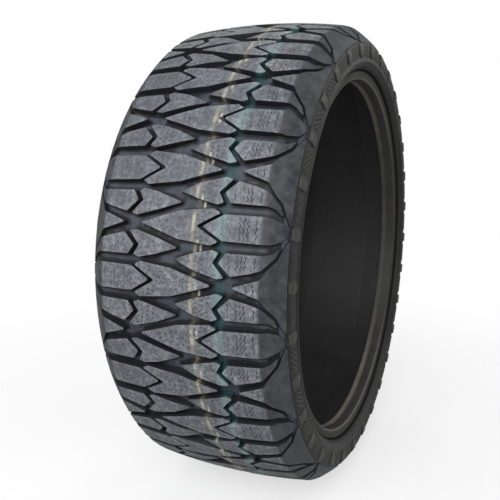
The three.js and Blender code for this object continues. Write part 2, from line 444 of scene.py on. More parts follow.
ARROW_LONG = symmetric([
    (-0.145, 0), (0.01, -0.049), (0.133, -0.0625), (0.158, -0.048), (0.075, 0),
])
ARROW_SMALL = [
    (-0.01, 0.1175), (0.08, 0.0885), (0.141, 0.0752), (0.163, 0.084), (0.143, 0.118),
    (0.186, 0.166), (0.16, 0.172), (0.07, 0.1475),
]
LUG_BIG = symmetric([
    (0.0955, 0), (0.172, -0.045), (0.312, -0.047), (0.330, -0.046), (0.3585, -0.0325),
    (0.370, -0.012), (0.3722, 0),
])
LUG_SMALL = [
    (0.163, 0.118), (0.187, 0.083), (0.312, 0.082), (0.334, 0.0765), (0.3495, 0.0610),
    (0.3570, 0.0570), (0.3470, 0.0880), (0.3295, 0.1105), (0.309, 0.1335), (0.27, 0.146),
    (0.207, 0.1605),
]
MID = PITCH / 2
BOW = [
    (0.2065, MID), (0.304, MID - 0.0325), (0.319, MID - 0.0565), (0.336, MID - 0.079),
    (0.352, MID - 0.0985), (0.364, MID - 0.1365), (0.3742, MID - 0.166), (0.3790, MID - 0.1665),
]
BOW += [(w, PITCH - u) for w, u in reversed(BOW[1:])]

# The line between one pitch and the next runs along the grooves, from the -Y rim of the tread
# to the +Y rim.
RIM_W, RIM_U = 0.3815, 0.013
CUT = [
    (RIM_W, RIM_U), (0.3757, 0.0145), (0.3665, 0.0365), (0.3565, 0.0435), (0.336, 0.0605),
    (0.312, 0.0645), (0.20, 0.065), (0.178, 0.0645), (0.155, 0.0665), (0.137, 0.0688),
    (0.12, 0.0697), (0.05, 0.073), (0.012, 0.063), (-0.03, 0.050), (-0.07, 0.036),
    (-0.11, 0.0245), (-0.145, 0.0142), (-0.17, 0.0122), (-0.2075, 0.018), (-0.25, 0.030),
    (-0.30, 0.0465), (-0.31, 0.0538), (-0.33, 0.0790), (-0.35, 0.1042), (-0.36, 0.1365),
    (-0.37, 0.1670), (-0.3757, 0.1813), (-RIM_W, RIM_U + RIM_LAG * PITCH / COLUMNS),
]


# ---- sipes: thin slits in a block's face, as open lines of (w, u) ---------------------------
SIPE_HALF_WIDTH = 0.5
SIPE_DEPTH = 5.0
SIPE_CLEARANCE = 0.8  # least distance to the block's edge and to other sipes


def dash(w, u, half_w, half_u):
    return [(w - half_w, u - half_u), (w + half_w, u + half_u)]


def wavy(w, start, end, swing, steps):
    """A zigzag line round the tyre at w, between two angles, with its ends on w."""
    line = []
    for i in range(steps + 1):
        side = 0 if i in (0, steps) else (1 if i % 2 else -1)
        line.append((w + side * swing, start + (end - start) * i / steps))
    return line


def long_arrow_sipes():
    """Short dashes, like stitches, in staggered rows, and a few down each leg."""
    rows = [  # w, half the row's angle
        (-0.058, 0.017), (-0.036, 0.024), (-0.014, 0.030), (0.008, 0.035), (0.030, 0.038),
        (0.052, 0.041),
    ]
    lines = []
    for row, (w, reach) in enumerate(rows):
        count = max(2, int(reach / 0.010))
        stagger = -0.002 if row % 2 else 0.002
        for k in range(count):
            u = -reach + (2 * reach) * (k + 0.5) / count + stagger
            lines.append(dash(w, u, 0.004, 0.0035))
    legs = [(0.076, 0.0175), (0.078, 0.035), (0.097, 0.030), (0.099, 0.046), (0.118, 0.042)]
    for side in (-1, 1):
        lines += [[(w - 0.004, side * u), (w + 0.004, side * (u + 0.006))] for w, u in legs]
    return lines


SMALL_ARROW_DASHES = [
    (0.082, 0.100), (0.082, 0.117), (0.084, 0.134), (0.104, 0.095), (0.104, 0.1115),
    (0.106, 0.128), (0.108, 0.145), (0.126, 0.090), (0.125, 0.106), (0.127, 0.138),
    (0.129, 0.154), (0.148, 0.158),
]
# Wavy sipes: w, first angle, last angle, swing, steps.
BIG_LUG_WAVES = [
    (0.2285, -0.038, 0.038, 0.0035, 8), (0.2425, -0.038, 0.038, 0.0035, 8),
    (0.2565, -0.038, 0.038, 0.0035, 8), (0.198, -0.030, 0.030, 0.002, 5),
    (0.285, -0.034, 0.034, 0.002, 5), (0.168, -0.026, 0.026, 0.003, 4),
]
SMALL_LUG_WAVES = [
    (0.2285, 0.0905, 0.143, 0.003, 5), (0.2425, 0.0905, 0.140, 0.003, 5),
    (0.2565, 0.0905, 0.137, 0.003, 5), (0.288, 0.0915, 0.128, 0.002, 4),
    (0.2, 0.092, 0.143, 0.002, 4),
]
BOW_WAVES = [
    (0.262, MID - 0.010, MID + 0.010, 0.002, 3), (0.284, MID - 0.016, MID + 0.016, 0.002, 3),
]

# Each block: outline, corner radius, whether its nose slopes, sipes.
SHAPES = {
    "arrow_long": (ARROW_LONG, 1.6, False, long_arrow_sipes()),
    "lug_big": (LUG_BIG, 2.2, False, [wavy(*wave) for wave in BIG_LUG_WAVES]),
    "arrow_small": (
        ARROW_SMALL, 1.6, True, [dash(w, u, 0.0038, 0.003) for w, u in SMALL_ARROW_DASHES],
    ),
    "lug_small": (LUG_SMALL, 2.2, False, [wavy(*wave) for wave in SMALL_LUG_WAVES]),
    "bow": (BOW, 1.8, False, [wavy(*wave) for wave in BOW_WAVES]),
}


def slit(line):
    """Closed ribbon round an open line, both flat."""
    normal = edge_normals(np.diff(line, axis=0))
    spread = (1 + np.sum(normal[:-1] * normal[1:], axis=1))[:, None]
    mitre = np.vstack([normal[:1], (normal[:-1] + normal[1:]) / spread, normal[-1:]])
    offset = mitre * SIPE_HALF_WIDTH
    return anticlockwise(np.vstack([line - offset, (line + offset)[::-1]]))


def has_room(ring, lip, others):
    """Whether a slit keeps clear of the block's edge and of the slits before it."""
    dense = resampled(closed(ring), 1.0)
    if not inside(lip, dense).all() or distance(lip, dense).min() < SIPE_CLEARANCE:
        return False
    return not any(
        inside(other, dense).any() or distance(other, dense).min() < SIPE_CLEARANCE
        for other, _ in others
    )


# ---- one pitch of the tread -----------------------------------------------------------------
def block_top(across, sloped):
    """Height of a block's face; a sloped nose goes down into the groove."""
    if not sloped:
        return np.zeros(len(across))
    return -np.interp(np.sign(across) * w_of(across), [-0.02, 0.07], [6.2, 0])


def add_block(sheet, shape, side, mirror, turn):
    """Add one block; side is 1 on the -Y half and -1 on the +Y half. Returns its foot loop."""
    outline, radius, sloped, sipes = shape

    def moved(points):
        points = mirrored(points) if mirror else points
        points = points if side > 0 else other_half(points)
        return flat([(w, u + turn) for w, u in points])

    # the shade number paints a sloped nose darker as it goes down into the groove: painted shade
    def face_relief(points):
        height = block_top(side * points[:, 0], sloped)
        return height, np.maximum(-height / GROOVE, 0) * 0.5

    # The wall goes from the lip over the edge to the foot: outline, height and shade.
    base = filleted(anticlockwise(moved(outline)), radius, 8.5)
    lip, shin, foot = grown(base, -0.55), grown(base, 0.65), grown(base, 1.25)
    edge_height = face_relief(base)[0] - 0.6
    shin_height = np.minimum(edge_height - 0.3, -groove_depth(shin[:, 0]) + 0.8)
    # the shade numbers paint the wall near-black in the tread material: painted shade
    levels = [
        (lip, *face_relief(lip)),
        (base, edge_height, 0.34),
        (grown(base, 0.3), 0.55 * edge_height + 0.45 * shin_height, 0.62),
        (shin, shin_height, 0.72),
        (foot, -groove_depth(foot[:, 0]), 0.76),
    ]
    loops = [sheet.points(*level) for level in levels]
    for upper, lower, share in zip(loops, loops[1:], (0.0, 1.0, 1.0, 0.0)):
        sheet.strip(lower, upper, share)

    holes = []
    for line in sipes:
        ring = slit(moved(line))
        if not has_room(ring, lip, holes):
            continue
        height, shade = face_relief(ring)
        # the mouth is painted a little darker and the bottom near-black: painted shade in the slit
        mouth = sheet.points(ring, height, shade + 0.09)
        bottom = sheet.points(grown(ring, -0.2), height - SIPE_DEPTH, 0.75)
        sheet.strip(mouth, bottom, 0.0)
        last = len(ring) - 1
        for k in range(len(line) - 1):
            corners = (k, k + 1, last - 1 - k, last - k)
            sheet.face([bottom[i] for i in corners], 1.0)
        holes.append((ring, mouth))
    sheet.fill((lip, loops[0]), holes, 13.0, 4.0, face_relief)
    return foot, loops[-1]


def floor_relief(points, feet):
    """Height of the groove floor, and a shade number that rises away from the feet of the blocks;
    the tread material paints the floor near-black at the feet, as painted shade.
    """
    near = np.min([distance(foot, points) for foot in feet], axis=0)
    return -groove_depth(points[:, 0]), 0.8 + 0.2 * np.clip((near - 1.3) / 2.9, 0, 1)


def tread_sheet():
    """Returns the sheet, its two cuts and its -Y and +Y rims."""
    sheet = Sheet()
    loops = []
    for side in (1, -1):
        later = PITCH if side > 0 else 0.0
        for kind, mirror, turn in (
            ("arrow_long", False, later),
            ("lug_big", False, later),
            ("arrow_small", False, 0.0),
            ("arrow_small", True, later),
            ("lug_small", False, 0.0),
            ("lug_small", True, later),
            ("bow", False, PITCH - later),
        ):
            loops.append(add_block(sheet, SHAPES[kind], side, mirror, turn))
    feet = [foot for foot, _ in loops]
    width = PITCH * R
    # the border also lies near the blocks of the pitches before and after
    all_feet = [foot + [0, shift] for foot in feet for shift in (0, width, -width)]
    outer, cuts, rim_left, rim_right = sheet.border(
        resampled(flat(CUT), 9.0)[::-1], width, np.arange(1, COLUMNS) / COLUMNS * PITCH * R,
        lambda points: floor_relief(points, all_feet),
    )
    sheet.fill(outer, loops, 7.5, 2.2, lambda points: floor_relief(points, feet))
    return sheet, cuts, rim_right, rim_left


# ---- materials ------------------------------------------------------------------------------
class Shader:
    """Short names for building a node material."""

    def __init__(self, name):
        self.mat = bpy.data.materials.new(name)
        self.mat.use_nodes = True
        self.tree = self.mat.node_tree
        self.tree.nodes.clear()
        self.out = self.node("OutputMaterial")
        self.bsdf = self.node("BsdfPrincipled")
        self.link(self.bsdf.outputs[0], self.out.inputs[0])
        self.coord = self.node("TexCoord").outputs["Object"]

    def node(self, kind, **inputs):
        """A new shader node, with its named inputs set."""
        node = self.tree.nodes.new("ShaderNode" + kind)
        for name, value in inputs.items():
            self.put(node.inputs[name], value)
        return node

    def link(self, a, b):
        self.tree.links.new(a, b)

    def put(self, socket, value):
        if isinstance(value, bpy.types.NodeSocket):
            self.link(value, socket)
        else:
            socket.default_value = value

    def math(self, operation, *values):
        node = self.node("Math")
        node.operation = operation
        for socket, value in zip(node.inputs, values):
            self.put(socket, value)
        return node.outputs[0]

    def product(self, first, *rest):
        for value in rest:
            first = self.math("MULTIPLY", first, value)
        return first

    def add(self, a, b):
        return self.math("ADD", a, b)

    def wave(self, value, frequency):
        return self.math("SINE", self.product(value, frequency))

    def noise(self, scale, detail=3.0, roughness=0.5, at=None):
        vector = self.coord if at is None else at
        node = self.node(
            "TexNoise", Vector=vector, Scale=scale, Detail=detail, Roughness=roughness
        )
        return node.outputs[0]

    def voronoi(self, scale):
        return self.node("TexVoronoi", Vector=self.coord, Scale=scale).outputs["Distance"]

    def ramp(self, value, stops):
        node = self.node("ValToRGB", Fac=value)
        elements = node.color_ramp.elements
        while len(elements) < len(stops):
            elements.new(0.5)
        for element, (position, color) in zip(elements, stops):
            element.position = position
            element.color = (*color, 1)
        return node.outputs[0]

    def remap(self, value, within, to=(0.0, 1.0), smooth=False):
        node = self.node("MapRange")
        if smooth:
            node.interpolation_type = "SMOOTHSTEP"
        self.put(node.inputs[0], value)
        for socket, limit in zip(node.inputs[1:5], (*within, *to)):
            socket.default_value = limit
        return node.outputs[0]

    def band(self, value, rise, fall, smooth=False):
        """1 between the rise and the fall, 0 outside."""
        return self.product(
            self.remap(value, within=rise, smooth=smooth),
            self.remap(value, within=fall, to=(1.0, 0.0), smooth=smooth),
        )

    def mix(self, factor, under, over):
        """Colour `over` laid on `under`."""
        node = self.node("Mix")
        node.data_type = "RGBA"
        self.put(node.inputs[0], factor)
        for socket, color in ((node.inputs[6], under), (node.inputs[7], over)):
            self.put(socket, (*color, 1) if isinstance(color, tuple) else color)
        return node.outputs[2]

    def depth(self):
        node = self.node("Attribute")
        node.attribute_name = "depth"
        return node.outputs["Fac"]

    def bump(self, height, strength, distance):
        node = self.node("Bump", Strength=strength, Distance=distance, Height=height)
        return node.outputs[0]

    def polar(self, *names):
        """Those asked for of the angle, the place along Y and the radius about the axis."""
        x, y, z = self.node("SeparateXYZ", Vector=self.coord).outputs
        makers = {
            "angle": lambda: self.math("ARCTAN2", z, x),
            "axial": lambda: y,
            "radius": lambda: self.hypotenuse(x, z),
        }
        return [makers[name]() for name in names]

    def hypotenuse(self, a, b):
        return self.math("SQRT", self.add(self.product(a, a), self.product(b, b)))

    def finish(self, color, roughness, specular, normal=None, metallic=0.0, sheen=0.0):
        self.put(self.bsdf.inputs["Base Color"], (*color, 1) if type(color) is tuple else color)
        self.put(self.bsdf.inputs["Roughness"], roughness)
        self.put(self.bsdf.inputs["Metallic"], metallic)
        self.put(self.bsdf.inputs["Specular IOR Level"], specular)
        if sheen:
            self.bsdf.inputs["Sheen Weight"].default_value = sheen
            self.bsdf.inputs["Sheen Roughness"].default_value = 0.5
        if normal is not None:
            self.link(normal, self.bsdf.inputs["Normal"])
        return self.mat


def tread_rubber_color(s, axial, depth, mottle, speck):
    """Greyish mottled faces, with painted shade: darker shoulders where the tread turns away from
    the light, and near-black grooves and block walls.
    """
    cloud = s.noise(scale=9.0, detail=4.0, roughness=0.6)
    cloud_greys = [
        (0.30, (0.130, 0.141, 0.157)), (0.52, (0.180, 0.192, 0.210)),
        (0.72, (0.238, 0.247, 0.257)),
    ]
    mottle_grey, grain_grey = (0.066, 0.072, 0.084), (0.056, 0.061, 0.071)
    speck_grey = (0.045, 0.048, 0.058)
    groove_shade_dark, groove_shade_light = (0.021, 0.025, 0.034), (0.046, 0.053, 0.068)
    wall_painted_shade = (0.0045, 0.005, 0.0075)
    shoulder_shade_dark, shoulder_shade_light = (0.020, 0.022, 0.027), (0.052, 0.055, 0.062)

    top = s.ramp(cloud, cloud_greys)
    top = s.mix(s.remap(mottle, within=(0.38, 0.62), to=(0.0, 0.66)), top, mottle_grey)
    grain = s.noise(scale=190.0, detail=2.0, roughness=0.7)
    top = s.mix(s.remap(grain, within=(0.40, 0.60), to=(0.0, 0.70)), top, grain_grey)
    patch = s.remap(s.noise(scale=26.0, detail=2.0), within=(0.36, 0.60), to=(0.35, 1.0))
    top = s.mix(s.product(speck, patch, 0.62), top, speck_grey)
    # painted shade: the grooves are painted darker than the faces, and near-black at the block
    # walls and at their feet
    low = s.mix(s.remap(mottle, within=(0.36, 0.64)), groove_shade_dark, groove_shade_light)
    low = s.mix(s.remap(depth, within=(0.82, 0.98), smooth=True), wall_painted_shade, low)
    # painted shade: the shoulders, where the tread turns away from the light, are painted darker
    off_centre = s.math("ABSOLUTE", axial)
    shoulder = s.remap(off_centre, within=(0.1190, 0.1245), smooth=True)
    shoulder_shade_color = s.mix(s.remap(mottle, within=(0.35, 0.65)), shoulder_shade_dark, shoulder_shade_light)
    top = s.mix(shoulder, top, shoulder_shade_color)
    # painted shade: the faces give way to the dark groove colour as the depth attribute rises
    return s.mix(s.remap(depth, within=(0.0, 0.42), smooth=True), top, low)


def tread_paint(s, color, angle, axial, depth):
    """Painted lines that a new tyre carries round its tread."""
    circle = s.node(
        "CombineXYZ", X=s.math("COSINE", angle), Y=0.0, Z=s.math("SINE", angle)
    ).outputs[0]
    drift = s.noise(scale=3.5, detail=2.0, at=circle)
    wander = s.product(s.math("SUBTRACT", drift, 0.5), 0.0022)

    def stripe(offset, half, soft):
        """A line at y = -offset, with a soft edge outside its half width."""
        away = s.math("ABSOLUTE", s.add(s.add(axial, offset), wander))
        return s.remap(away, within=(half, half + soft), to=(1.0, 0.0), smooth=True)

    def coat(mask, strength, under, paint):
        """Paint whose strength goes from the blocks' faces to the grooves."""
        return s.mix(s.product(mask, s.remap(depth, within=(0.2, 1.0), to=strength)), under, paint)

    halo_paint, yellow_paint = (0.25, 0.215, 0.125), (0.40, 0.375, 0.285)
    spot_paint = (0.40, 0.385, 0.320)
    green_face, green_groove_shade = (0.19, 0.31, 0.30), (0.010, 0.048, 0.051)

    worn = s.noise(scale=95.0, roughness=0.7)
    worn = s.remap(worn, within=(0.36, 0.56), to=(0.12, 1.0))
    dashes = s.remap(s.wave(angle, 64.0), within=(-0.45, 0.1), to=(0.28, 1.0))
    yellow = s.product(stripe(offset=0.0262, half=0.0014, soft=0.0021), worn, dashes)
    halo = stripe(offset=0.0275, half=0.0020, soft=0.0080)
    color = coat(halo, (0.13, 0.06), color, halo_paint)
    color = coat(yellow, (0.60, 0.20), color, yellow_paint)
    spots = s.remap(s.wave(angle, 41.0), within=(0.55, 0.85), to=(0.0, 0.8))
    spotted = s.product(stripe(offset=0.0345, half=0.0012, soft=0.001), worn, spots)
    color = s.mix(spotted, color, spot_paint)
    green_worn = s.noise(scale=60.0, roughness=0.7)
    green_worn = s.remap(green_worn, within=(0.32, 0.6), to=(0.25, 1.0))
    green = s.product(stripe(offset=0.0655, half=0.0026, soft=0.0080), green_worn)
    # painted shade: the green paint is darker in the grooves
    green_paint = s.mix(s.remap(depth, within=(0.1, 0.6)), green_face, green_groove_shade)
    return coat(green, (0.42, 0.80), color, green_paint)


def tread_material():
    s = Shader("tread_rubber_looks")
    angle, axial = s.polar("angle", "axial")
    depth = s.depth()
    mottle = s.noise(scale=55.0, detail=4.0, roughness=0.65)
    fine = s.noise(scale=420.0, roughness=0.6)
    # fine speckle of the moulded face
    speck = s.remap(s.voronoi(scale=165.0), within=(0.24, 0.42), to=(1.0, 0.0))
    color = tread_rubber_color(s, axial, depth, mottle, speck)
    color = tread_paint(s, color, angle, axial, depth)
    roughness = s.remap(mottle, within=(0.3, 0.7), to=(0.52, 0.66))
    roughness = s.add(roughness, s.product(depth, 0.06))
    height = s.add(s.product(fine, 0.5), s.product(s.math("SUBTRACT", 1.0, speck), 0.6))
    normal = s.bump(height, strength=0.35, distance=0.0006)
    return s.finish(color, roughness, specular=0.32, normal=normal, sheen=0.02)


def sidewall_material():
    s = Shader("sidewall_rubber_looks")
    dark, light = (0.010, 0.010, 0.0105), (0.021, 0.021, 0.021)
    dusty, raised_grey = (0.034, 0.032, 0.028), (0.056, 0.054, 0.050)
    [radius] = s.polar("radius")
    mottle = s.noise(scale=45.0, detail=4.0, roughness=0.65)
    cloud = s.noise(scale=7.0)
    color = s.mix(s.remap(mottle, within=(0.3, 0.7)), dark, light)
    color = s.mix(s.remap(cloud, within=(0.40, 0.68), to=(0.0, 0.5)), color, dusty)
    # raised faces of the lugs and the net are painted lighter
    raised = s.remap(s.depth(), within=(0.05, 0.5), to=(1.0, 0.0), smooth=True)
    raised_lightening = s.product(raised, s.remap(mottle, within=(0.35, 0.65), to=(0.45, 0.95)))
    color = s.mix(raised_lightening, color, raised_grey)
    fine = s.noise(scale=500.0, detail=2.0, roughness=0.6)
    mould_rings = s.wave(radius, 4200.0)
    height = s.add(s.product(fine, 0.6), s.product(mould_rings, 0.10))
    roughness = s.remap(mottle, within=(0.3, 0.7), to=(0.50, 0.64))
    normal = s.bump(height, strength=0.25, distance=0.0005)
    return s.finish(color, roughness, specular=0.28, normal=normal, sheen=0.03)


def chafer_material():
    s = Shader("chafer_rubber_looks")
    dark, light = (0.018, 0.0175, 0.0168), (0.033, 0.0318, 0.030)
    channel_painted_shade, painted_edge_highlight = (0.0035, 0.0035, 0.0035), (0.150, 0.140, 0.120)
    angle, axial, radius = s.polar("angle", "axial", "radius")
    mottle = s.noise(scale=60.0, detail=4.0, roughness=0.6)
    color = s.mix(s.remap(mottle, within=(0.3, 0.7)), dark, light)
    # the channel between the bead cover and the sidewall, painted near-black: painted shade in the
    # recess
    channel = s.band(radius, rise=(0.3208, 0.3228), fall=(0.3250, 0.3278), smooth=True)
    color = s.mix(s.product(channel, 0.72), color, channel_painted_shade)
    # a painted highlight: pale lines round the heel and toe, clearest at top and bottom where the
    # lamps catch them
    outboard = s.remap(s.math("ABSOLUTE", axial), within=(0.1400, 0.1415))
    heel = s.band(radius, rise=(0.3082, 0.3090), fall=(0.3108, 0.3122))
    heel = s.product(heel, outboard)
    inboard = s.remap(s.math("ABSOLUTE", axial), within=(0.1250, 0.1290), to=(1.0, 0.0))
    toe = s.product(s.remap(radius, within=(0.3068, 0.3073), to=(1.0, 0.0)), inboard)
    upright = s.math("ABSOLUTE", s.math("SINE", angle))
    upright = s.remap(upright, within=(0.45, 0.95), to=(0.22, 1.0), smooth=True)
    pale = s.product(s.math("MAXIMUM", s.product(heel, 0.8), toe), upright)
    pale = s.product(pale, s.remap(mottle, within=(0.3, 0.7), to=(0.6, 1.0)))
    color = s.mix(pale, color, painted_edge_highlight)
    weave = s.product(s.wave(angle, 900.0), s.wave(radius, 2600.0))
    grain = s.noise(scale=600.0, detail=2.0)
    height = s.add(s.product(weave, 0.35), s.product(grain, 0.5))
    roughness = s.remap(mottle, within=(0.3, 0.7), to=(0.50, 0.62))
    roughness = s.math("MAXIMUM", roughness, channel)
    specular = s.product(s.math("SUBTRACT", 1.0, s.product(channel, 0.8)), 0.26)
    normal = s.bump(height, strength=0.22, distance=0.0004)
    return s.finish(color, roughness, specular=specular, normal=normal)


def liner_material():
    s = Shader("liner_rubber_looks")
    dark, light = (0.007, 0.0068, 0.0066), (0.014, 0.0138, 0.0135)
    angle, axial = s.polar("angle", "axial")
    mottle = s.noise(scale=22.0, detail=4.0, roughness=0.6)
    # fine ribs that lean across the liner
    ribs = s.math("SINE", s.add(s.product(angle, 420.0), s.product(axial, 260.0)))
    color = s.mix(s.remap(mottle, within=(0.3, 0.7)), dark, light)
    height = s.add(s.product(ribs, 0.5), s.product(s.noise(scale=300.0, detail=2.0), 0.4))
    roughness = s.remap(mottle, within=(0.3, 0.7), to=(0.46, 0.62))
    normal = s.bump(height, strength=0.30, distance=0.0006)
    return s.finish(color, roughness, specular=0.38, normal=normal)


def compound_material(name, dark, light):
    """Plain rubber inside the tyre."""
    s = Shader(name)
    mottle = s.noise(scale=70.0, detail=4.0, roughness=0.6)
    color = s.mix(s.remap(mottle, within=(0.3, 0.7)), dark, light)
    normal = s.bump(s.noise(scale=350.0), strength=0.3, distance=0.0006)
    return s.finish(color, roughness=0.7, specular=0.3, normal=normal)


def cord_material(name, dark, light, metallic, around, lean):
    """Cords set close together in rubber.

    around and lean are the pattern's frequencies: per radian round and per metre along Y.
    """
    s = Shader(name)
    rubber = (0.03, 0.03, 0.03)
    angle, axial = s.polar("angle", "axial")
    wave = s.math("SINE", s.add(s.product(angle, around), s.product(axial, lean)))
    twist = s.wave(axial, 2600.0)
    cord = s.remap(wave, within=(-0.3, 0.5), smooth=True)
    cord_color = s.mix(s.remap(s.noise(scale=90.0), within=(0.3, 0.7)), dark, light)
    color = s.mix(cord, rubber, cord_color)
    height = s.add(s.product(cord, 1.0), s.product(twist, 0.12))
    normal = s.bump(height, strength=0.6, distance=0.0008)
    roughness = 0.45 if metallic else 0.8
    return s.finish(color, roughness, specular=0.4, normal=normal, metallic=metallic)


MATERIALS = {
    "tread_rubber": tread_material(),
    "sidewall_rubber": sidewall_material(),
    "chafer_rubber": chafer_material(),
    "liner_rubber": liner_material(),
    "base_rubber": compound_material(
        "base_rubber_looks", dark=(0.030, 0.030, 0.031), light=(0.048, 0.047, 0.046)
    ),
    "filler_rubber": compound_material(
        "filler_rubber_looks", dark=(0.022, 0.021, 0.020), light=(0.036, 0.034, 0.032)
    ),
    "nylon_sheet": cord_material(
        "nylon_sheet_looks", dark=(0.50, 0.42, 0.27), light=(0.60, 0.52, 0.36),
        metallic=0.0, around=40.0, lean=5200.0,
    ),
    "polyester_sheet": cord_material(
        "polyester_sheet_looks", dark=(0.40, 0.33, 0.22), light=(0.52, 0.44, 0.31),
        metallic=0.0, around=1900.0, lean=0.0,
    ),
    "steel_cord_sheet": cord_material(
        "steel_cord_sheet_looks", dark=(0.45, 0.42, 0.36), light=(0.58, 0.55, 0.48),
        metallic=0.9, around=760.0, lean=3200.0,
    ),
    "bead_wire": cord_material(
        "bead_wire_looks", dark=(0.46, 0.36, 0.22), light=(0.60, 0.48, 0.30),
        metallic=0.9, around=60.0, lean=6200.0,
    ),
}


# ---- making pieces --------------------------------------------------------------------------
def shared_normals(points, faces, sizes, share):
    """Vertex normals turned only by the faces with a share, so an edge radius shades as one."""
    corners = np.array([(*face, face[-1])[:4] for face in faces])
    a, b, c, d = (points[corners[:, k]] for k in range(4))
    quad = (sizes == 4)[:, None]
    face_normals = np.cross(np.where(quad, c - a, b - a), np.where(quad, d - b, c - a))
    shared = face_normals * np.asarray(share, float)[:, None]
    normals, plain = np.zeros_like(points), np.zeros_like(points)
    for k in range(4):
        has_corner = sizes > k
        ids = corners[has_corner, k]
        np.add.at(normals, ids, shared[has_corner])
        np.add.at(plain, ids, face_normals[has_corner])
    unset = np.linalg.norm(normals, axis=1) < 1e-12
    normals[unset] = plain[unset]
    return normals / np.maximum(np.linalg.norm(normals, axis=1), 1e-15)[:, None]


def make(name, verts, faces, slot, stands_for, share=None, shade=None):
    """A smooth mesh object from millimetres, on the root body, that hides the CAD pieces it stands
    for.
    """
    mesh = bpy.data.meshes.new(name)
    points = np.asarray(verts, float) * MM
    mesh.vertices.add(len(points))
    mesh.vertices.foreach_set("co", points.astype(np.float32).ravel())
    sizes = np.array([len(face) for face in faces], np.int32)
    loops = np.concatenate([np.asarray(face) for face in faces]).astype(np.int32)
    mesh.loops.add(len(loops))
    mesh.loops.foreach_set("vertex_index", loops)
    mesh.polygons.add(len(faces))
    starts = np.concatenate([[0], np.cumsum(sizes)[:-1]]).astype(np.int32)
    mesh.polygons.foreach_set("loop_start", starts)
    mesh.polygons.foreach_set("loop_total", sizes)
    mesh.update(calc_edges=True)
    mesh.validate(verbose=False)
    mesh.polygons.foreach_set("use_smooth", np.ones(len(mesh.polygons), bool))
    if share is not None:
        normals = shared_normals(points, faces, sizes, share)
        mesh.normals_split_custom_set_from_vertices(normals.tolist())
    if shade is not None:
        attribute = mesh.attributes.new("depth", "FLOAT", "POINT")
        attribute.data.foreach_set("value", np.asarray(shade, np.float32))
    ob = bpy.data.objects.new(name, mesh)
    bpy.context.scene.collection.objects.link(ob)
    mesh.materials.append(MATERIALS[slot])
    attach(ob, "root")
    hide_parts(*stands_for)
    return ob


def lathe(name, section, slot, stands_for, segments, sharp):
    """A closed ring from a closed section. Corners under `sharp` degrees shade smooth."""
    y, r = anticlockwise(section).T
    count = len(y)
    theta = (np.arange(segments) * 2 * math.pi / segments)[:, None]
    around = np.broadcast_to(y, (segments, count))
    verts = np.stack([r * np.cos(theta), around, r * np.sin(theta)], -1).reshape(-1, 3)
    faces = []
    for a in range(segments):
        b = (a + 1) % segments
        for i in range(count):
            j = (i + 1) % count
            faces.append((a * count + i, a * count + j, b * count + j, b * count + i))
    ob = make(name, verts, facing_out(verts, faces), slot, stands_for)
    ob.data.set_sharp_from_angle(angle=math.radians(sharp))


def lathe_pair(name, part, section, slot, segments, sharp):
    """The same ring on both sides, from its left (+Y) section."""
    for side, sign in (("left", 1), ("right", -1)):
        lathe(
            f"{name}_{side}", [(sign * y, r) for y, r in section], slot, [f"{part}_{side}"],
            segments, sharp,
        )


# ---- the tread ------------------------------------------------------------------------------
TREAD_UNDERSIDE = [  # half, from the rim to the centre
    (151.2, 368.6), (146.6, 374.0), (139.5, 376.6), (132.4, 377.0), (130.6, 380.3),
    (121.6, 384.7), (107, 387.0), (91.6, 389.0), (66, 391.0), (33, 391.6), (0, 391.9),
]


def build_tread():
    sheet, cuts, rim_right, rim_left = tread_sheet()
    ring = Ring(sheet, cuts, PITCHES, R, tread_place)
    section = [(-y, r) for y, r in TREAD_UNDERSIDE] + TREAD_UNDERSIDE[-2::-1]
    ring.close(
        ring.rim(rim_right), np.roll(ring.rim(rim_left), RIM_LAG), ring.rim_angles(rim_right),
        section, shade=1.0, shares=[1.0] * (len(section) + 1),
    )
    make(
        "tread", ring.verts, ring.faces, "tread_rubber",
        ["tread_cap", "tread_wing_left", "tread_wing_right"], ring.share, ring.shade,
    )


build_tread()

# ---- sidewalls ------------------------------------------------------------------------------
# Outer line of the left sidewall between its lugs, from the tread's rim down to the rib, then
# the rib and on to the bead cover, then back along the inside.
SIDE_FACE = np.array([
    (153.3, 367.6), (154.4, 366.6), (155.2, 363.2), (155.7, 358), (155.9, 352), (155.8, 346.5),
    (155.9, 343.2),
])
SIDE_RIB = [
    (156.4, 341.6), (157.3, 340.2), (157.9, 338.9), (158.0, 337.6), (157.6, 336.3),
    (156.4, 334.9), (154.6, 333.3), (152.6, 331.2), (150.9, 328.2),
]
SIDE_IN = [
    (148.0, 330.2), (153.4, 337.2), (153.1, 348.6), (149.9, 357.2), (146.9, 364.45),
    (139.6, 366.8), (132.4, 368.9), (135.2, 373.0), (139.5, 373.9), (145.9, 372.0),
    (150.6, 367.4),
]
FACE_ARC = arc_lengths(SIDE_FACE)
R_SIDE = 352.0  # radius at which lengths along the sidewall are true
CELLS = 2 * PITCHES  # each holds one lug and one net of ridges
CELL_WIDTH = PITCH / 2 * R_SIDE
CELL_COLUMNS = 10
CELL_START = 11.2  # from the middle of a lug to the cut between cells
SIDE_LUG = [  # across, along
    (1.8, -6.6), (5.5, -8.3), (17.0, -8.3), (23.6, -3.4), (23.6, 3.4), (17.0, 8.3), (5.5, 8.3),
    (1.8, 6.6),
]
NET_MIDDLE = 12.8  # across
NET_PITCH = 8.8  # length of a diamond along
NET_COUNT = 4  # diamonds in a row
NET_RISE = 4.3  # half a diamond across
NET_HALF_RIDGE = 0.6
NET_HEIGHT = 1.1
NET_SLOPE = 0.5  # how far the ridges' foot spreads


def side_place(across, angle, height):
    y = np.interp(across, FACE_ARC, SIDE_FACE[:, 0])
    r = np.interp(across, FACE_ARC, SIDE_FACE[:, 1])
    lean = np.interp(across, [0, 1.5, 5, 10, 16, 25], np.radians([48, 34, 14, 5, 0, 0]))
    return on_wheel(y + height * np.cos(lean), r + height * np.sin(lean), angle)


def lug_height(across):
    return np.interp(across, [0, 1.8, 6.5, 19, 23.6], [1.0, 1.7, 3.25, 3.25, 2.3])


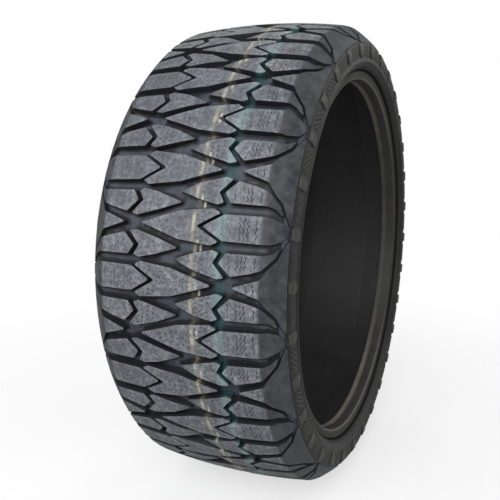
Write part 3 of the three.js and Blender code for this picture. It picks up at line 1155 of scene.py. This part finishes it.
def net_outline():
    """The net, rows of open diamonds between two lugs: its outer outline and the openings."""
    slope = 2 * NET_RISE / NET_PITCH
    ridge = NET_HALF_RIDGE * math.sqrt(1 + slope * slope)  # half a ridge, measured across
    ridge_along = ridge / slope
    start = CELL_WIDTH / 2 - NET_COUNT * NET_PITCH / 2
    end = start + NET_COUNT * NET_PITCH
    low, high = NET_MIDDLE - NET_RISE, NET_MIDDLE + NET_RISE
    upper = []
    for k in range(NET_COUNT):
        upper.append((NET_MIDDLE + 2 * NET_RISE + ridge, start + (k + 0.5) * NET_PITCH))
        if k < NET_COUNT - 1:
            upper.append((high + ridge, start + (k + 1) * NET_PITCH))
    lower = [(2 * NET_MIDDLE - across, along) for across, along in upper]
    first_end = [
        (low, start - ridge_along), (NET_MIDDLE, start + NET_PITCH / 2 - ridge_along),
        (high, start - ridge_along),
    ]
    last_end = [
        (high, end + ridge_along), (NET_MIDDLE, end - NET_PITCH / 2 + ridge_along),
        (low, end + ridge_along),
    ]
    centres = [
        (across, start + (k + 0.5) * NET_PITCH) for across in (low, high)
        for k in range(NET_COUNT)
    ]
    centres += [(NET_MIDDLE, start + k * NET_PITCH) for k in range(1, NET_COUNT)]
    reach_along, reach_across = NET_PITCH / 2 - ridge_along, NET_RISE - ridge
    holes = [
        [
            (across, along - reach_along), (across + reach_across, along),
            (across, along + reach_along), (across - reach_across, along),
        ]
        for across, along in centres
    ]
    return first_end + upper + last_end + lower[::-1], holes


def add_side_lug(sheet):
    """Returns the lug's foot loop."""
    lug = anticlockwise([(across, along + CELL_WIDTH) for across, along in SIDE_LUG])
    lug = filleted(lug, 1.6, 5.0)
    top = lug_height(lug[:, 0])
    loops = []
    for spread, height, shade in (
        (1.25, 0.0, 0.8), (0.75, 0.6, 0.6), (0.0, top - 0.5, 0.2), (-0.55, top, 0.0),
    ):
        outline = grown(lug, spread)
        loops.append((outline, sheet.points(outline, height, shade)))
    for (_, lower), (_, upper), share in zip(loops, loops[1:], (0.0, 1.0, 0.0)):
        sheet.strip(lower, upper, share)
    sheet.fill(loops[-1], [], 5.0, 2.0, lambda points: (lug_height(points[:, 0]), 0.0))
    return loops[0]


def add_net(sheet):
    """Returns the net's foot loop."""
    outer, holes = (
        [filleted(anticlockwise(outline), 0.9, 4.0, 1) for outline in outlines]
        for outlines in ([net_outline()[0]], net_outline()[1])
    )
    [outer] = outer
    foot = grown(outer, NET_SLOPE)
    foot_ids = sheet.points(foot, 0.0, 0.5)
    lip_ids = sheet.points(outer, NET_HEIGHT, 0.0)
    sheet.strip(foot_ids, lip_ids, 0.0)
    loops = []
    for hole in holes:
        hole_ids = sheet.points(hole, NET_HEIGHT, 0.0)
        low = grown(hole, -NET_SLOPE)
        low_ids = sheet.points(low, 0.0, 0.5)
        sheet.strip(hole_ids, low_ids, 0.0)
        sheet.fill((low, low_ids), [], 5.0, 2.0, lambda points: (0.0, 0.6))
        loops.append((hole, hole_ids))
    # a grid too coarse to add points to the narrow ridges
    sheet.fill((outer, lip_ids), loops, 50.0, 30.0, lambda points: (NET_HEIGHT, 0.0))
    return foot, foot_ids


def side_sheet():
    """One cell of the sidewall's face: the sheet, its two cuts, its rims at tread and rib."""
    sheet = Sheet()
    feet = [add_side_lug(sheet), add_net(sheet)]
    stations = np.concatenate([[0, 0.8, FACE_ARC[1]], np.linspace(4.0, FACE_ARC[-1], 8)])
    cut = np.stack([stations, np.full(len(stations), CELL_START)], 1)
    offsets = np.arange(1, CELL_COLUMNS) / CELL_COLUMNS * CELL_WIDTH

    def face_relief(points):
        return 0.0, 0.6

    outer, cuts, tread_rim, rib_rim = sheet.border(cut, CELL_WIDTH, offsets, face_relief)
    sheet.fill(outer, feet, 4.2, 1.4, face_relief)
    return sheet, cuts, tread_rim, rib_rim


def build_sidewalls():
    sheet, cuts, tread_rim, rib_rim = side_sheet()
    ring = Ring(sheet, cuts, CELLS, R_SIDE, side_place)
    ring.close(
        ring.rim(rib_rim), ring.rim(tread_rim), ring.rim_angles(rib_rim), SIDE_RIB + SIDE_IN,
        shade=0.6, shares=[1.0] * (len(SIDE_RIB) + 1) + [0.02] * len(SIDE_IN),
    )
    for side, verts, faces in (
        ("left", ring.verts, ring.faces),
        ("right", ring.verts * [1, -1, 1], reversed_faces(ring.faces)),
    ):
        make(
            f"sidewall_skin_{side}", verts, faces, "sidewall_rubber", [f"sidewall_{side}"],
            ring.share, ring.shade,
        )


build_sidewalls()

# ---- bead covers ----------------------------------------------------------------------------
CHAFER = [
    (118.6, 306.3), (118.9, 305.9), (123.0, 306.25), (141.0, 308.0), (142.3, 308.6),
    (143.5, 309.7), (144.3, 311.0), (144.5, 312.2), (144.5, 314.2), (145.0, 314.7),
    (145.0, 315.3), (144.5, 315.8), (144.5, 317.4), (145.0, 317.9), (145.0, 318.5),
    (144.5, 319.0), (144.5, 321.0), (145.4, 322.3), (147.9, 325.0), (150.6, 327.8),
    (147.7, 329.8), (140.8, 321.05), (136.75, 309.7), (123.7, 309.7), (120.4, 313.0),
    (119.4, 310.2),
]
lathe_pair("chafer", "chafer", CHAFER, "chafer_rubber", segments=256, sharp=38)

# ---- inner liner, with the fine ridges that the moulding bladder leaves ---------------------
LINER_OUT = [  # half, from the bead to the crown
    (123.16, 314.15), (121.96, 322.18), (138.35, 333.75), (149.03, 348.92), (144.16, 361.66),
    (65.64, 380.8),
]
LINER_CROWN = (0.0, 379.6)
LINER_IN = [  # half, from the crown to the bead
    (65.42, 379), (142.82, 360.13), (147, 349.17), (137.05, 335.04), (120.01, 323.01),
    (121.38, 313.89),
]
RIDGE_PITCH, RIDGE_HEIGHT = 7.0, 0.35


def ridged(line):
    """The line, rounded, with a small ridge at every pitch."""
    points = resampled(filleted_open(np.array(line, float), 9.0), 1.2)
    arc = arc_lengths(points)
    last = len(points) - 1
    out = [points[0]]
    for i in range(1, last):
        chord = points[i + 1] - points[i - 1]
        tangent = chord / np.linalg.norm(chord)
        normal = np.array([-tangent[1], tangent[0]])
        lift = RIDGE_HEIGHT * max(0.0, math.cos(2 * math.pi * arc[i] / RIDGE_PITCH)) ** 4
        out.append(points[i] + normal * lift)
    return out + [points[last]]


lathe(
    "inner_liner_smooth",
    ridged(opposite(LINER_IN) + [LINER_CROWN] + LINER_IN) + LINER_OUT + opposite(LINER_OUT),
    "liner_rubber", ["inner_liner"], segments=208, sharp=50,
)


# ---- hidden layers --------------------------------------------------------------------------
def layer(one_face, other_face):
    """Closed section of a layer from side to side, its faces listed from rim to crown."""
    there = one_face + opposite(one_face)
    back = other_face + opposite(other_face)
    return there + back[::-1]


# Sections of the whole rings: slot, section.
LAYERS = {
    "tread_base": ("base_rubber", layer(
        [(129.2, 379.4), (121.4, 384.1), (91.5, 388.5), (66, 390.5)],
        [(122.4, 382.5), (92, 387), (66, 389.2)],
    )),
    "cap_ply": ("nylon_sheet", layer(
        [(120.6, 379.8), (66.3, 387.9)], [(120.75, 380.79), (66.38, 388.9)],
    )),
    "belt_upper": ("steel_cord_sheet", layer(
        [(112.32, 379.12), (66.16, 386)], [(112.56, 380.7), (66.28, 387.6)],
    )),
    "belt_lower": ("steel_cord_sheet", layer(
        [(118.04, 376.34), (66.02, 384.1)], [(118.28, 377.93), (66.14, 385.7)],
    )),
    "body_ply_outer": ("polyester_sheet", layer(
        [
            (145.74, 330.51), (139.07, 322.02), (135.45, 311.6), (125.37, 311.6),
            (123.9, 321.35), (139.64, 332.46), (151.05, 348.67), (145.5, 363.18),
            (65.86, 382.6),
        ],
        [
            (144.8, 331.25), (138, 322.6), (134.6, 312.8), (126.4, 312.8), (125.2, 320.8),
            (140.5, 331.6), (152.4, 348.5), (146.4, 364.2), (66, 383.8),
        ],
    )),
    "body_ply_inner": ("polyester_sheet", layer(
        [
            (152.62, 336.83), (140.4, 321.29), (136.52, 310.1), (124.07, 310.1),
            (122.28, 322.05), (138.56, 333.54), (149.36, 348.88), (144.38, 361.91),
            (65.68, 381.1),
        ],
        [
            (151.68, 337.57), (139.33, 321.87), (135.67, 311.3), (125.11, 311.3),
            (123.58, 321.49), (139.42, 332.68), (150.71, 348.71), (145.28, 362.93),
            (65.82, 382.3),
        ],
    )),
}
# Left sections of the rings that come in pairs: slot, section.
PAIRS = {
    "cap_strip": ("nylon_sheet", [(92, 385.42), (120, 381.25), (120, 382.25), (92, 386.42)]),
    "belt_wedge": ("base_rubber", [
        (100, 378.5), (118.6, 375.65), (122.7, 381.3), (128.2, 378.8), (134, 373.2),
        (131.6, 369.2),
    ]),
    "bead_core": ("bead_wire", [
        (126.15, 317.4), (128.5, 313.3), (133.2, 313.3), (135.55, 317.4), (133.2, 321.5),
        (128.5, 321.5),
    ]),
    "bead_filler": ("filler_rubber", [
        (127.6, 321.95), (137.1, 321.95), (149.7, 338.2), (152.4, 347.4), (140.85, 331.3),
    ]),
}
BUILD_ORDER = [
    "tread_base", "cap_ply", "cap_strip", "belt_upper", "belt_lower", "belt_wedge",
    "body_ply_outer", "body_ply_inner", "bead_core", "bead_filler",
]
for part in BUILD_ORDER:
    if part in PAIRS:
        slot, section = PAIRS[part]
        lathe_pair(part + "_ring", part, section, slot, segments=160, sharp=30)
    else:
        slot, section = LAYERS[part]
        lathe(part + "_ring", section, slot, [part], segments=160, sharp=30)

# ---- stage ----------------------------------------------------------------------------------
FLOOR_Z = -(R + 0.3) * MM
FLOOR_RADII = (0.4, 0.7, 1.0, 1.4, 1.8)
FLOOR_SEGMENTS = 96


def floor_material():
    """Matt white that fades to nothing away from the tyre."""
    s = Shader("floor_looks")
    color = s.mix(s.noise(scale=6.0), (0.86, 0.86, 0.86), (0.90, 0.90, 0.90))
    s.finish(color, roughness=0.9, specular=0.05)
    x, y, _ = s.node("SeparateXYZ", Vector=s.coord).outputs
    fade = s.remap(s.hypotenuse(x, y), within=(0.40, 1.4), to=(0.62, 1.0), smooth=True)
    blend = s.node("MixShader")
    s.link(fade, blend.inputs[0])
    s.link(s.bsdf.outputs[0], blend.inputs[1])
    s.link(s.node("BsdfTransparent").outputs[0], blend.inputs[2])
    s.link(blend.outputs[0], s.out.inputs[0])
    return s.mat


def build_floor():
    """A disc of rings of quads round a fan of triangles."""
    m = FLOOR_SEGMENTS
    angles = [2 * math.pi * k / m for k in range(m)]
    verts = [(0, 0, FLOOR_Z)]
    for radius in FLOOR_RADII:
        verts += [(radius * math.cos(a), radius * math.sin(a), FLOOR_Z) for a in angles]
    faces = [(0, 1 + k, 1 + (k + 1) % m) for k in range(m)]
    for band in range(len(FLOOR_RADII) - 1):
        a, b = 1 + band * m, 1 + (band + 1) * m
        faces += [(a + k, b + k, b + (k + 1) % m, a + (k + 1) % m) for k in range(m)]
    mesh = bpy.data.meshes.new("floor")
    mesh.from_pydata(verts, [], faces)
    ob = bpy.data.objects.new("floor", mesh)
    bpy.context.scene.collection.objects.link(ob)
    mesh.materials.append(floor_material())


def build_world(light_strength, seen_strength):
    """A white world, full white behind the object and softer as light."""
    world = bpy.data.worlds.new("studio")
    scene.world = world
    world.use_nodes = True
    tree = world.node_tree
    background = tree.nodes["Background"]
    background.inputs[0].default_value = (1.0, 1.0, 1.0, 1)
    path = tree.nodes.new("ShaderNodeLightPath")
    level = tree.nodes.new("ShaderNodeMapRange")
    level.inputs[3].default_value = light_strength
    level.inputs[4].default_value = seen_strength
    tree.links.new(path.outputs["Is Camera Ray"], level.inputs[0])
    tree.links.new(level.outputs[0], background.inputs[1])


build_floor()
scene = bpy.context.scene
build_world(light_strength=0.40, seen_strength=1.0)
scene.view_settings.view_transform = "Standard"
scene.view_settings.look = "None"
scene.view_settings.exposure = 0.0

# ---- camera ---------------------------------------------------------------------------------
AZIMUTH, ELEVATION = -66.1, 11.0  # degrees; azimuth 0 looks from -Y, 90 from +X
CAMERA_BACK, CAMERA_RIGHT, CAMERA_UP = 3.2605, -0.1443, -0.0031  # in units of R


def direction(azimuth, elevation):
    """Unit vector from the wheel centre, from degrees."""
    a, e = math.radians(azimuth), math.radians(elevation)
    return Vector((math.sin(a) * math.cos(e), -math.cos(a) * math.cos(e), math.sin(e)))


def build_camera():
    back = direction(AZIMUTH, ELEVATION)
    turn = math.radians(AZIMUTH)
    right = Vector((math.cos(turn), math.sin(turn), 0))
    up = back.cross(right)
    data = bpy.data.cameras.new("camera")
    camera = bpy.data.objects.new("camera", data)
    scene.collection.objects.link(camera)
    camera.location = R * MM * (CAMERA_BACK * back + CAMERA_RIGHT * right + CAMERA_UP * up)
    camera.rotation_mode = "QUATERNION"
    camera.rotation_quaternion = Matrix((right, up, back)).transposed().to_quaternion()
    data.lens = 50.46
    data.sensor_width = 36.0
    data.clip_end = 100
    scene.camera = camera


build_camera()


# ---- lights ---------------------------------------------------------------------------------
def area_light(name, where, size, power, color=(1, 1, 1)):
    """A disc light aimed at the wheel centre."""
    data = bpy.data.lights.new(name, "AREA")
    data.shape = "DISK"
    data.size = size
    data.energy = power
    data.color = color
    ob = bpy.data.objects.new(name, data)
    scene.collection.objects.link(ob)
    ob.location = where
    ob.rotation_euler = (Vector((0, 0, 0)) - where).to_track_quat("-Z", "Y").to_euler()
    ob.visible_camera = False


area_light("key", direction(AZIMUTH - 14, 27) * 2.6, size=1.6, power=64)
area_light(
    "fill_front", direction(AZIMUTH - 55, 22) * 3.0, size=2.0, power=22,
    color=(0.95, 0.98, 1.0),
)
area_light("fill_right", direction(AZIMUTH + 110, 30) * 3.0, size=2.0, power=22)
area_light("rim_back", direction(AZIMUTH + 190, 48) * 2.8, size=1.8, power=10)
area_light("top", Vector((0, 0, 3.0)), size=2.0, power=2)
